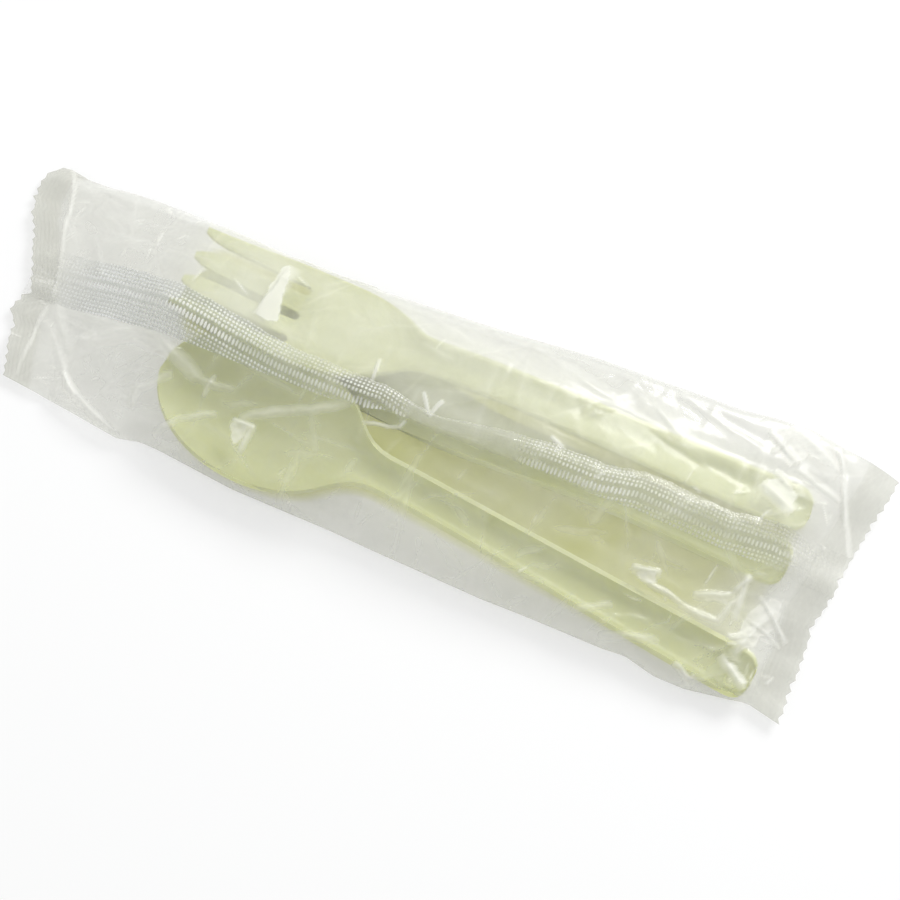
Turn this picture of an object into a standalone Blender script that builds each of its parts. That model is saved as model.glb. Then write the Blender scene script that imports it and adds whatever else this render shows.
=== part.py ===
"""Cutlery kit: a fork, a knife and a spoon moulded in pale green plant-starch plastic, sealed
together in a clear flow-wrapped film pack. Metres, +Z up, X along the pack, heads at -X.

The pack lies on its flat underside with its longitudinal fin seal on top. The knife and the spoon
lie on the bottom film, the fork lies on both of them, and the top film is draped over all three.
"""

import math

import bpy
import numpy as np
from mathutils import Matrix, Vector
from mathutils.bvhtree import BVHTree

MM = 0.001

# Moulded cutlery, all three pieces, in millimetres.
WALL = 1.2
HANDLE_END_WIDTH = 11.6
HANDLE_NECK_WIDTH = 9.0
CHANNEL_DEPTH = 3.4
END_CAP_LENGTH = 4.0
BLUNTNESS = 0.35

# Fork.
FORK_LENGTH = 165.0
FORK_HEAD_WIDTH = 27.6
FORK_HEAD_LENGTH = 62.0
FORK_TIP_WIDTH = 24.0
FORK_HEAD_DISH = 2.2
FORK_TIP_RISE = 3.6
FORK_NECK_RISE = 4.2
SLOT_LENGTH = 30.0
SLOT_WIDTH = 2.6
TINE_TIP_WIDTH = 1.4
TINE_TIP_TAPER = 9.0

# Knife.
KNIFE_LENGTH = 166.0
BLADE_LENGTH = 80.0
BLADE_WIDTH = 17.6
BLADE_TIP_RADIUS = 11.0
CUTTING_EDGE = 0.45
KNIFE_HANDLE_RISE = 1.0
KNIFE_BOW = 2.2

# Spoon.
SPOON_LENGTH = 163.0
BOWL_LENGTH = 56.0
BOWL_WIDTH = 36.6
BOWL_DEPTH = 6.2
SPOON_NECK_RISE = 4.2

# Where each piece lies in the pack: the middle of its head end and its turn about Z.
FORK_HEAD_AT = (-70.0, 13.6)
FORK_TURN = 1.2
FORK_ROLL = -12.0
KNIFE_HEAD_AT = (-71.0, 13.9)
KNIFE_TURN = -3.7
SPOON_HEAD_AT = (-66.0, -9.0)
SPOON_TURN = -6.0
REST_GAP = 0.3

# Film pack.
FILM = 0.25
PACK_LENGTH = 222.0
SEAL_LENGTH = 8.0
SEAL_OVERRUN = 1.5
LEFT_WIDTH = 59.0
RIGHT_WIDTH = 72.5
RIGHT_SEAL_WIDTH = 67.0
RIGHT_SHIFT = 2.4
LEFT_SKEW = -0.22
RIGHT_SKEW = 0.09
SIDE_HEIGHT = 4.2
SIDE_RADIUS = 1.8
SEAL_HEIGHT = 1.0
SHOULDER_LENGTH = 12.0
HEEL_LENGTH = 6.0
FIN_GAP = 0.35
FIN_HUMP = 3.0
FIN_FLAT_WIDTH = 10.5
# Fin seal along the pack: X, Y of its root, and how far it reaches over the film. Where it was
# pushed together it reaches less far and stands up in a hump instead.
FIN_COURSE = (
    (-111.0, -5.6, 13.4),
    (-62.0, -4.1, 12.2),
    (-39.0, -3.9, 9.0),
    (-16.0, -3.0, 7.6),
    (-9.0, -1.0, 5.4),
    (2.0, -0.2, 2.6),
    (21.0, 0.3, 5.6),
    (31.0, -0.2, 7.5),
    (45.0, -0.1, 7.8),
    (55.0, 0.4, 9.6),
    (111.0, 0.8, 11.2),
)
TOOTH_PITCH = 2.8
TOOTH_DEPTH = 1.1
VENT_STATION = 8
VENT_WIDTH = 1.2

# How finely the curved shapes are divided.
SECTION_STEPS = 12
BODY_STATIONS = 54
TOP_STEPS_FAR = 12
TOP_STEPS_NEAR = 12
BOTTOM_STEPS = 8
FIN_STEPS = 4
SIDE_STEPS = 3
DRAPE_STEP = 2.0
DRAPE_ROWS = 37
DRAPE_ROUNDS = 500
PULL_ALONG = 0.6
COVER_CELLS = 1
COVER_GAP = 0.9
LAY_STEP = 0.5
CLEAR_HEIGHT = 200.0


def smooth(value, low, high):
    """0 below low, 1 above high, and a smooth ramp between."""
    u = np.clip((np.asarray(value, float) - low) / (high - low), 0.0, 1.0)
    return u * u * (3 - 2 * u)


def either(a, b, sharpness=4.0):
    """The larger of two widths or depths, with a rounded change from one to the other."""
    return (np.maximum(a, 0) ** sharpness + np.maximum(b, 0) ** sharpness) ** (1 / sharpness)


def principled(name, colour, roughness, alpha=1.0):
    material = bpy.data.materials.new(name)
    material.use_nodes = True
    shader = material.node_tree.nodes["Principled BSDF"]
    shader.inputs["Base Color"].default_value = (*colour, 1.0)
    shader.inputs["Roughness"].default_value = roughness
    shader.inputs["Metallic"].default_value = 0.0
    shader.inputs["Alpha"].default_value = alpha
    return material


def mesh_object(name, points, faces, material):
    """An object from points in millimetres and faces."""
    mesh = bpy.data.meshes.new(name)
    mesh.from_pydata([Vector(p) * MM for p in points], [], faces)
    mesh.validate()
    mesh.shade_smooth()
    mesh.set_sharp_from_angle(angle=math.radians(40))
    mesh.materials.append(material)
    made = bpy.data.objects.new(name, mesh)
    bpy.context.collection.objects.link(made)
    return made


def loft(rings):
    """Closed surface through rings of equal length, with a flat cap on each end."""
    count = len(rings[0])
    points = [p for ring in rings for p in ring]
    faces = [tuple(reversed(range(count))), tuple(range(len(points) - count, len(points)))]
    for i in range(len(rings) - 1):
        for j in range(count):
            k = (j + 1) % count
            faces.append((i * count + j, i * count + k, (i + 1) * count + k, (i + 1) * count + j))
    return points, faces


def prism(outline, low, high):
    """An upright prism on an anticlockwise outline."""
    count = len(outline)
    points = [(x, y, low) for x, y in outline] + [(x, y, high) for x, y in outline]
    faces = [tuple(reversed(range(count))), tuple(range(count, 2 * count))]
    faces += [(j, (j + 1) % count, count + (j + 1) % count, count + j) for j in range(count)]
    return points, faces


def cut(target, name, outline, low, high):
    """Takes an upright prism out of the target."""
    cutter = mesh_object(name, *prism(outline, low, high), target.data.materials[0])
    cutter.hide_render = True
    cutter.display_type = "WIRE"
    cutter.parent = target
    modifier = target.modifiers.new(name, "BOOLEAN")
    modifier.operation = "DIFFERENCE"
    modifier.solver = "EXACT"
    modifier.object = cutter


def handle_shape(x, length):
    """Half width and channel depth of the handle, which every piece of the set shares."""
    along = smooth(x, 0.45 * length, length)
    width = HANDLE_NECK_WIDTH + (HANDLE_END_WIDTH - HANDLE_NECK_WIDTH) * along
    from_end = np.clip((length - x) / END_CAP_LENGTH, 0, 1)
    rounding = np.sqrt(np.clip(1 - (1 - from_end) ** 2, 0, 1))
    return width / 2 * (BLUNTNESS + (1 - BLUNTNESS) * rounding), CHANNEL_DEPTH * rounding


def stations(length, head, head_steps, handle_steps):
    """Places along a piece: close together at the rounded head end and at the handle's end."""
    turn = np.linspace(math.radians(9), math.pi / 2, head_steps)
    front = head * (1 - np.cos(turn))
    cap = length - END_CAP_LENGTH * (1 - np.sin(np.linspace(0, math.pi / 2, 5)))
    middle = np.linspace(head, length - END_CAP_LENGTH, handle_steps)[1:-1]
    return np.concatenate([front, middle, cap])


def moulding(name, x_list, profile, material):
    """A thin moulded piece. profile(x) gives its half width, middle line, rim height, depth,
    section power, and wall at both rims. Its lowest point is put at z = 0."""
    s = np.sin(np.linspace(-math.pi / 2, math.pi / 2, SECTION_STEPS + 1))
    rings = []
    for x in x_list:
        half, middle, rim, depth, power, left_wall, right_wall = profile(x)
        y = middle + half * s
        z = rim - depth * (1 - np.abs(s) ** power)
        slope = np.gradient(z, y)
        length = np.hypot(1, slope)
        wall = np.interp(s, [-1, -0.4, 0.4, 1], [left_wall, WALL, WALL, right_wall]) / 2
        ny, nz = -slope / length * wall, 1 / length * wall
        under = [(x, y[i] - ny[i], z[i] - nz[i]) for i in range(len(s))]
        over = [(x, y[i] + ny[i], z[i] + nz[i]) for i in reversed(range(len(s)))]
        rings.append(under + over)
    points, faces = loft(rings)
    lowest = min(p[2] for p in points)
    points = [(x, y, z - lowest) for x, y, z in points]
    return mesh_object(name, points, faces, material)


def arch(x, length, neck, rise):
    """Height of the handle's rim: up from the head, over the neck, and down to the end."""
    up = smooth(x, 0.55 * neck, 1.25 * neck)
    down = smooth(x, 1.25 * neck, length)
    return rise * up * (1 - down)


def spoon_profile(x):
    centre = BOWL_LENGTH / 2
    u = np.clip((x - centre) / centre, -1, 1)
    bowl = BOWL_WIDTH / 2 * math.sqrt(1 - u * u)
    in_handle = smooth(x, 0.55 * BOWL_LENGTH, 0.95 * BOWL_LENGTH)
    half_handle, channel = handle_shape(x, SPOON_LENGTH)
    half = either(bowl, half_handle * in_handle)
    depth = either(BOWL_DEPTH * (1 - u * u) ** 0.7, channel * in_handle, 3)
    rim = BOWL_DEPTH + arch(x, SPOON_LENGTH, BOWL_LENGTH, SPOON_NECK_RISE)
    rim -= (BOWL_DEPTH - CHANNEL_DEPTH) * smooth(x, BOWL_LENGTH, SPOON_LENGTH)
    power = 2.3 + 3.2 * smooth(x, 0.8 * BOWL_LENGTH, 1.3 * BOWL_LENGTH)
    return half, 0.0, rim, depth, power, WALL, WALL


def fork_profile(x):
    widen = smooth(x, 0, SLOT_LENGTH)
    head = FORK_TIP_WIDTH + (FORK_HEAD_WIDTH - FORK_TIP_WIDTH) * widen
    shoulder = np.clip((x - SLOT_LENGTH) / (FORK_HEAD_LENGTH - SLOT_LENGTH), 0, 1)
    head_half = head / 2 * math.sqrt(max(1 - shoulder**2.4, 0))
    in_handle = smooth(x, 0.6 * FORK_HEAD_LENGTH, FORK_HEAD_LENGTH)
    half_handle, channel = handle_shape(x, FORK_LENGTH)
    half = either(head_half, half_handle * in_handle)
    dish = FORK_HEAD_DISH * (1 - 0.6 * smooth(SLOT_LENGTH - x, 0, SLOT_LENGTH))
    depth = either(dish * (1 - smooth(x, SLOT_LENGTH, FORK_HEAD_LENGTH)), channel * in_handle, 3)
    rim = CHANNEL_DEPTH + arch(x, FORK_LENGTH, FORK_HEAD_LENGTH, FORK_NECK_RISE)
    rim += FORK_TIP_RISE * smooth(SLOT_LENGTH * 1.2 - x, 0, SLOT_LENGTH * 1.6)
    rim -= (CHANNEL_DEPTH - FORK_HEAD_DISH) * (1 - in_handle)
    power = 2.2 + 3.3 * smooth(x, 0.75 * FORK_HEAD_LENGTH, 1.2 * FORK_HEAD_LENGTH)
    return half, 0.0, rim, depth, power, WALL, WALL


def knife_profile(x):
    tip = np.clip(x / BLADE_TIP_RADIUS, 0, 1)
    rounded = math.sqrt(max(1 - (1 - tip) ** 2, 0))
    in_handle = float(smooth(x, 0.82 * BLADE_LENGTH, 1.08 * BLADE_LENGTH))
    past_heel = float(smooth(x, 0.95 * BLADE_LENGTH, 1.6 * BLADE_LENGTH))
    half_handle, channel = handle_shape(x, KNIFE_LENGTH)
    spine = -BLADE_WIDTH / 2 * (0.55 + 0.45 * rounded)
    edge = spine + (BLADE_WIDTH / 2 - spine) * (BLUNTNESS + (1 - BLUNTNESS) * rounded)
    edge_side = edge * (1 - in_handle) + half_handle * in_handle
    spine_side = spine * (1 - past_heel) - half_handle * past_heel
    bow = -4 * KNIFE_BOW * x / KNIFE_LENGTH * (1 - x / KNIFE_LENGTH)
    depth = channel * in_handle
    rim = CHANNEL_DEPTH * in_handle + arch(x, KNIFE_LENGTH, BLADE_LENGTH, KNIFE_HANDLE_RISE)
    edge_wall = CUTTING_EDGE + (WALL - CUTTING_EDGE) * in_handle
    half = (edge_side - spine_side) / 2
    return half, (edge_side + spine_side) / 2 + bow, rim, depth, 5.5, WALL, edge_wall


def tine_gap(middle, pitch):
    """Outline of one slot between two tines: a round root, and sides that open at the tips."""
    root = SLOT_WIDTH / 2
    turn = np.linspace(-math.pi / 2, math.pi / 2, 7)
    outline = [(SLOT_LENGTH - root + root * math.cos(a), middle + root * math.sin(a)) for a in turn]
    tip = (pitch - TINE_TIP_WIDTH) / 2
    for part in np.linspace(0, 1, 5):
        x = TINE_TIP_TAPER * (1 - part)
        width = root + (tip - root) * (1 - math.sqrt(1 - part**2))
        outline.append((x, middle + width))
    outline.append((-WALL, middle + tip))
    outline.append((-WALL, middle - tip))
    for part in np.linspace(1, 0, 5):
        x = TINE_TIP_TAPER * (1 - part)
        width = root + (tip - root) * (1 - math.sqrt(1 - part**2))
        outline.append((x, middle - width))
    return outline


def make_spoon(material):
    places = stations(SPOON_LENGTH, BOWL_LENGTH / 2, 9, 26)
    return moulding("spoon", places, spoon_profile, material)


def make_fork(material):
    head = np.linspace(0, FORK_HEAD_LENGTH, 18)
    handle = stations(FORK_LENGTH, FORK_HEAD_LENGTH, 2, 16)[2:]
    fork = moulding("fork", np.concatenate([head, handle]), fork_profile, material)
    pitch = (FORK_HEAD_WIDTH + SLOT_WIDTH) / 4
    top = FORK_TIP_RISE + CHANNEL_DEPTH + FORK_NECK_RISE + 2 * WALL
    for number in (-1, 0, 1):
        cut(fork, f"slot_cutter_{number + 2}", tine_gap(number * pitch, pitch), -WALL, top)
    return fork


def make_knife(material):
    tip = BLADE_TIP_RADIUS * (1 - np.cos(np.linspace(0, math.pi / 2, 8)))
    blade = np.linspace(BLADE_TIP_RADIUS, BLADE_LENGTH * 1.1, 16)[1:]
    handle = stations(KNIFE_LENGTH, BLADE_LENGTH * 1.1, 2, 14)[2:]
    places = np.concatenate([tip, blade, handle])
    return moulding("knife", places, knife_profile, material)


def evaluated_mesh(made):
    """Points in millimetres, in the pack, and triangles of an object with its modifiers."""
    bpy.context.view_layer.update()
    graph = bpy.context.evaluated_depsgraph_get()
    evaluated = made.evaluated_get(graph)
    mesh = evaluated.to_mesh()
    mesh.calc_loop_triangles()
    points = [evaluated.matrix_world @ v.co / MM for v in mesh.vertices]
    faces = [tuple(t.vertices) for t in mesh.loop_triangles]
    evaluated.to_mesh_clear()
    return points, faces


def heights(made, grid_x, grid_y, from_above):
    """Height of the object's upper or lower surface over each grid point, or nan beside it."""
    tree = BVHTree.FromPolygons(*evaluated_mesh(made))
    start, way = (CLEAR_HEIGHT, -1) if from_above else (-CLEAR_HEIGHT, 1)
    found = np.full((len(grid_x), len(grid_y)), np.nan)
    for i, x in enumerate(grid_x):
        for j, y in enumerate(grid_y):
            hit = tree.ray_cast(Vector((x, y, start)), Vector((0, 0, way)))[0]
            if hit is not None:
                found[i, j] = hit.z
    return found


def lay(made, head_at, turn, roll, under):
    """Turns a piece to its place and lets it down until head and handle both rest."""
    grid_x = np.arange(-PACK_LENGTH / 2, PACK_LENGTH / 2, 2 * LAY_STEP)
    grid_y = np.arange(-RIGHT_WIDTH / 2, RIGHT_WIDTH / 2, LAY_STEP)
    pitch = 0.0
    for _ in range(4):
        turned = Matrix.Rotation(math.radians(turn), 4, "Z") @ Matrix.Rotation(pitch, 4, "Y")
        turned = turned @ Matrix.Rotation(math.radians(roll), 4, "X")
        at = Matrix.Translation(Vector((head_at[0], head_at[1], 0)) * MM)
        made.matrix_basis = at @ turned
        bottom = heights(made, grid_x, grid_y, False)
        needed = under + REST_GAP - bottom
        reach = np.where(~np.isnan(bottom).all(axis=1))[0]
        middle = (reach[0] + reach[-1]) // 2
        head_up, tail_up = np.nanmax(needed[:middle]), np.nanmax(needed[middle:])
        head_row = np.unravel_index(np.nanargmax(needed[:middle]), needed[:middle].shape)[0]
        tail_row = np.unravel_index(np.nanargmax(needed[middle:]), needed[middle:].shape)[0] + middle
        pitch -= math.atan2(tail_up - head_up, grid_x[tail_row] - grid_x[head_row])
    made.location.z = max(head_up, tail_up) * MM
    return grid_x, grid_y


def pack_edges(x):
    """Y of the pack's near and far side at a place along it."""
    along = (x + PACK_LENGTH / 2) / PACK_LENGTH
    half = (LEFT_WIDTH + (RIGHT_WIDTH - LEFT_WIDTH) * along) / 2
    half -= (RIGHT_WIDTH - RIGHT_SEAL_WIDTH) / 2 * smooth(along, 0.9, 0.99)
    shift = RIGHT_SHIFT * smooth(along, 0.4, 0.9)
    return shift - half, shift + half


def fin_seal(x):
    """Y of the fin seal's root, how far it reaches over the film, and how high its hump is."""
    places, roots, widths = zip(*FIN_COURSE)
    width = float(np.interp(x, places, widths))
    slack = math.sqrt(max(1 - (width / FIN_FLAT_WIDTH) ** 2, 0))
    return float(np.interp(x, places, roots)), width, FIN_HUMP * slack


def sheared(x, y):
    """Both ends of the pack are cut a little askew, so the body leans with them."""
    along = (x + PACK_LENGTH / 2) / PACK_LENGTH
    near_end = LEFT_SKEW * (1 - along) ** 3 + RIGHT_SKEW * along**3
    return x + near_end * y


def openness(x, ramp=SHOULDER_LENGTH):
    """0 in the flat end seals, 1 where the pack is full."""
    reach = PACK_LENGTH / 2 - SEAL_LENGTH
    return float(smooth(reach - abs(x), 0, ramp))


def spread(values, cells, combine):
    """Each value becomes the largest, or the average, of those within so many cells."""
    across, over = values.shape
    padded = np.pad(values, cells, mode="edge")
    steps = range(2 * cells + 1)
    shifted = [padded[i : i + across, j : j + over] for i in steps for j in steps]
    return combine(shifted, axis=0)


def draped_film(contents):
    """Heights of the top film over a grid: a stretched sheet that the contents hold up."""
    grid_x = np.arange(-PACK_LENGTH / 2, PACK_LENGTH / 2 + DRAPE_STEP, DRAPE_STEP)
    grid_v = np.linspace(-1, 1, DRAPE_ROWS)
    held = np.zeros((len(grid_x), len(grid_v)))
    trees = [BVHTree.FromPolygons(*evaluated_mesh(piece)) for piece in contents]
    for i, x in enumerate(grid_x):
        low, high = pack_edges(x)
        for j, v in enumerate(grid_v):
            y = (low + high) / 2 + v * ((high - low) / 2 - SIDE_RADIUS)
            origin = Vector((sheared(x, y), y, CLEAR_HEIGHT))
            for tree in trees:
                hit = tree.ray_cast(origin, Vector((0, 0, -1)))[0]
                if hit is not None:
                    held[i, j] = max(held[i, j], hit.z + FILM + COVER_GAP)
    held = spread(spread(held, 2 * COVER_CELLS, np.max), COVER_CELLS, np.mean)
    seal_top = SEAL_HEIGHT + 2 * FILM
    side = np.array([SIDE_HEIGHT * openness(x) + seal_top * (1 - openness(x)) for x in grid_x])
    near_side, far_side = np.maximum(side, held[:, 0]), np.maximum(side, held[:, -1])
    film = np.maximum(held, side[:, None])
    in_seal = np.array([openness(x) == 0 for x in grid_x])
    for _ in range(DRAPE_ROUNDS):
        along_mean = (film[2:, 1:-1] + film[:-2, 1:-1]) / 2
        across_mean = (film[1:-1, 2:] + film[1:-1, :-2]) / 2
        film[1:-1, 1:-1] = PULL_ALONG * along_mean + (1 - PULL_ALONG) * across_mean
        film = np.maximum(film, held)
        film[:, 0] = near_side
        film[:, -1] = far_side
        film[in_seal] = seal_top
    return grid_x, grid_v, film


def film_height(drape, x, y):
    grid_x, grid_v, film = drape
    low, high = pack_edges(x)
    v = (y - (low + high) / 2) / ((high - low) / 2 - SIDE_RADIUS)
    i = np.clip(np.searchsorted(grid_x, x) - 1, 0, len(grid_x) - 2)
    part = (x - grid_x[i]) / (grid_x[i + 1] - grid_x[i])
    row = film[i] * (1 - part) + film[i + 1] * part
    return float(np.interp(v, grid_v, row))


def pack_ring(drape, x, inset, with_fin):
    """One section round the pack, anticlockwise seen from +X, moved inwards by inset."""
    low, high = pack_edges(x)
    open_here = openness(x)
    floor = SEAL_HEIGHT * (1 - openness(x, HEEL_LENGTH)) + inset
    radius = max(SIDE_RADIUS * open_here, FILM) - inset / 2
    low, high = low + inset, high - inset
    ring = [(y, floor) for y in np.linspace(low + radius, high - radius, BOTTOM_STEPS + 1)]
    top_far = film_height(drape, x, high - radius) - inset
    for step in range(1, SIDE_STEPS):
        turn = math.pi * step / SIDE_STEPS - math.pi / 2
        lift = (top_far - floor) / 2
        ring.append((high - radius + radius * math.cos(turn), floor + lift * (1 + math.sin(turn))))
    root, width, hump = fin_seal(x)
    for y in [*np.linspace(high - radius, root + VENT_WIDTH, TOP_STEPS_FAR + 1), root + FILM]:
        ring.append((y, film_height(drape, x, y) - inset))
    if with_fin:
        reach = np.linspace(2 * FILM, width, FIN_STEPS)
        rise = FIN_GAP + hump * np.sin(math.pi * reach / width)
        fin = [(root + out, film_height(drape, x, root + out) + up) for out, up in zip(reach, rise)]
        ring += fin + [(y, z + 2 * FILM) for y, z in reversed(fin)]
    for y in np.linspace(root - FILM, low + radius, TOP_STEPS_NEAR + 1):
        ring.append((y, film_height(drape, x, y) - inset))
    top_near = film_height(drape, x, low + radius) - inset
    for step in range(1, SIDE_STEPS):
        turn = math.pi / 2 + math.pi * step / SIDE_STEPS
        lift = (top_near - floor) / 2
        ring.append((low + radius + radius * math.cos(turn), floor + lift * (1 + math.sin(turn))))
    return [(sheared(x, y), y, z) for y, z in ring]


def tooth_outline(end):
    """Outline of what the zig-zag knife takes off one end of the pack."""
    low, high = pack_edges(end * PACK_LENGTH / 2)
    teeth = 2 * round((high - low) / TOOTH_PITCH) + 1
    edge = []
    for number, y in enumerate(np.linspace(low - TOOTH_PITCH, high + TOOTH_PITCH, teeth + 4)):
        x = PACK_LENGTH / 2 - TOOTH_DEPTH * (number % 2)
        edge.append((sheared(end * x, y), y))
    beyond = end * (PACK_LENGTH / 2 + SEAL_LENGTH)
    corners = [(sheared(beyond, edge[-1][1]), edge[-1][1]), (sheared(beyond, edge[0][1]), edge[0][1])]
    outline = edge + corners
    return outline if end < 0 else outline[::-1]


def make_wrapper(contents, material):
    drape = draped_film(contents)
    reach = PACK_LENGTH / 2 + TOOTH_DEPTH
    body = PACK_LENGTH / 2 - SEAL_LENGTH
    inside = np.linspace(-body + SEAL_OVERRUN, body - SEAL_OVERRUN, BODY_STATIONS)
    outside = np.concatenate([[-reach, -body], inside, [body, reach]])
    outer_rings = [pack_ring(drape, x, 0.0, True) for x in outside]
    inner_rings = [pack_ring(drape, x, FILM, False) for x in inside]
    points, faces = loft(outer_rings)
    inner_points, inner_faces = loft(inner_rings)
    count, inner_count, start = len(outer_rings[0]), len(inner_rings[0]), len(points)
    inner_faces = [tuple(start + v for v in reversed(face)) for face in inner_faces]
    by_root = BOTTOM_STEPS + SIDE_STEPS + TOP_STEPS_FAR
    outer_first = (VENT_STATION + 2) * count + by_root
    outer_vent = [outer_first, outer_first + 1, outer_first + 1 + count, outer_first + count]
    inner_first = start + VENT_STATION * inner_count + by_root
    inner_vent = [inner_first, inner_first + 1, inner_first + 1 + inner_count, inner_first + inner_count]
    faces = [face for face in faces if set(face) != set(outer_vent)]
    inner_faces = [face for face in inner_faces if set(face) != set(inner_vent)]
    for j in range(4):
        k = (j + 1) % 4
        faces.append((outer_vent[j], outer_vent[k], inner_vent[k], inner_vent[j]))
    wrapper = mesh_object("film_wrapper", points + inner_points, faces + inner_faces, material)
    for number, end in enumerate((-1, 1)):
        cut(wrapper, f"zigzag_knife_{number + 1}", tooth_outline(end), -SIDE_RADIUS, SIDE_HEIGHT)
    return wrapper


def main():
    for old in list(bpy.data.objects):
        bpy.data.objects.remove(old, do_unlink=True)

    starch = principled("plant_starch_plastic", (0.63, 0.66, 0.41), 0.42)
    film = principled("clear_film", (0.9, 0.9, 0.9), 0.08, alpha=0.25)

    spoon = make_spoon(starch)
    knife = make_knife(starch)
    fork = make_fork(starch)

    floor = np.full((1, 1), FILM)
    grid_x, grid_y = lay(knife, KNIFE_HEAD_AT, KNIFE_TURN, 0.0, floor)
    lay(spoon, SPOON_HEAD_AT, SPOON_TURN, 0.0, np.fmax(heights(knife, grid_x, grid_y, True), FILM))
    under_fork = np.fmax(heights(knife, grid_x, grid_y, True), heights(spoon, grid_x, grid_y, True))
    lay(fork, FORK_HEAD_AT, FORK_TURN, FORK_ROLL, np.fmax(under_fork, FILM))

    wrapper = make_wrapper([spoon, knife, fork], film)

    kit = bpy.data.objects.new("kit_origin", None)
    bpy.context.collection.objects.link(kit)
    points = np.array([p for p in evaluated_mesh(wrapper)[0]])
    middle = (points.min(axis=0) + points.max(axis=0)) / 2
    kit.location = Vector((-middle[0], -middle[1], -points[:, 2].min())) * MM
    for piece in (spoon, knife, fork, wrapper):
        piece.parent = kit


main()
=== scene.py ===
"""A fork, a knife and a spoon in plant-starch plastic, sealed in a clear flow-wrap film pack."""

import math

import bpy
import numpy as np
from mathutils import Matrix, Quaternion, Vector
from mathutils.bvhtree import BVHTree


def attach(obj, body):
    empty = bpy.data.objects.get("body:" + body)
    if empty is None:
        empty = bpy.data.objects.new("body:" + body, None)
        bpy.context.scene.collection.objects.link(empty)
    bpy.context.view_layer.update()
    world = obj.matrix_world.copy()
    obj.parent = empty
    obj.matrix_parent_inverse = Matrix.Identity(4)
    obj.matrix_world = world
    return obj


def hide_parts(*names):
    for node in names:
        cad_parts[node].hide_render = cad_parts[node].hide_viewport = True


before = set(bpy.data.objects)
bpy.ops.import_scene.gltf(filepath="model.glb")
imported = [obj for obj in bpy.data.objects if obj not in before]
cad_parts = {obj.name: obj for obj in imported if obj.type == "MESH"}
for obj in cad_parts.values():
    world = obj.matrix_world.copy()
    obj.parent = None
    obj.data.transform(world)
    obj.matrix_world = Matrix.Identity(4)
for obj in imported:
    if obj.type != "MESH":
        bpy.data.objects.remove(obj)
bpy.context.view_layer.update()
bpy.ops.object.select_all(action="DESELECT")
MM = 0.001
fork, knife, spoon = (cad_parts[name] for name in ("fork", "knife", "spoon"))


# Camera: it stands almost over the pack, a little towards the spoon's side, so the pack runs from
# upper left to lower right. Azimuth, elevation, distance and lens come from a fit to the
# photograph's corners and to the knurl's pitch along the fin seal.
CAMERA_AZIMUTH, CAMERA_ELEVATION = math.radians(23.45), math.radians(73.92)
CAMERA_ROLL = math.radians(-0.3)
CAMERA_DISTANCE = 431.6 * MM
LOOKS_AT = Vector((9.12, -3.1, 0)) * MM
SENSOR_WIDTH = 36
PICTURE_PIXELS, FOCAL_PIXELS = 900, 1735
to_camera = Vector(
    (
        math.cos(CAMERA_ELEVATION) * math.sin(CAMERA_AZIMUTH),
        -math.cos(CAMERA_ELEVATION) * math.cos(CAMERA_AZIMUTH),
        math.sin(CAMERA_ELEVATION),
    )
)
bpy.ops.object.camera_add(location=LOOKS_AT + to_camera * CAMERA_DISTANCE)
camera = bpy.context.object
turn = (-to_camera).to_track_quat("-Z", "Y") @ Quaternion((0, 0, 1), CAMERA_ROLL)
camera.rotation_euler = turn.to_euler()
camera.data.lens = SENSOR_WIDTH * FOCAL_PIXELS / PICTURE_PIXELS
camera.data.clip_start = 0.01
bpy.context.scene.camera = camera
bpy.context.scene.view_settings.view_transform = "Standard"


# Studio: a white table, a soft box beyond the fork's side of the pack, a much weaker one past the
# spoon's head, and an even pale room. Half of the table is a white glow that only the camera sees,
# so the paper stays white in the picture.
WHITE = (1, 1, 1, 1)
ROOM_LIGHT = 0.72
PAPER = (0.94, 0.94, 0.94, 1)
TABLE_GLOW = 0.50
# Numbers of a mix node's sockets when it mixes colours: its two inputs and its result.
COLOUR_A, COLOUR_B, COLOUR_OUT = 6, 7, 2


def to_linear(hex_colour):
    """Linear colour of an sRGB hex value."""
    parts = [int(hex_colour[i : i + 2], 16) / 255 for i in (1, 3, 5)]
    return [c / 12.92 if c <= 0.04045 else ((c + 0.055) / 1.055) ** 2.4 for c in parts] + [1.0]


def node(tree, kind, inputs=None, **properties):
    """Adds a node. Each input, by its name or number, is given a socket that feeds it or a value."""
    made = tree.nodes.new(kind)
    for name, value in properties.items():
        setattr(made, name, value)
    for key, given in (inputs or {}).items():
        if isinstance(given, bpy.types.NodeSocket):
            tree.links.new(given, made.inputs[key])
        else:
            made.inputs[key].default_value = given
    return made


def empty_material(name):
    """A new material and its node tree, with nothing in it yet."""
    material = bpy.data.materials.new(name)
    material.use_nodes = True
    material.node_tree.nodes.clear()
    return material, material.node_tree


def softbox(name, aim, distance, width, height, power):
    """A soft box that faces the pack's middle from the direction aim."""
    way = Vector(aim).normalized()
    bpy.ops.object.light_add(type="AREA", location=way * distance)
    lamp = bpy.context.object
    lamp.name = name
    lamp.data.shape = "RECTANGLE"
    lamp.data.size, lamp.data.size_y = width, height
    lamp.data.energy = power
    lamp.rotation_euler = way.to_track_quat("Z", "Y").to_euler()


softbox("key_softbox", aim=(0.27, 0.70, 0.50), distance=0.75, width=0.34, height=0.28, power=4.2)
softbox("side_softbox", aim=(-0.60, -0.45, 0.50), distance=0.8, width=0.30, height=0.30, power=0.5)

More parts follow.
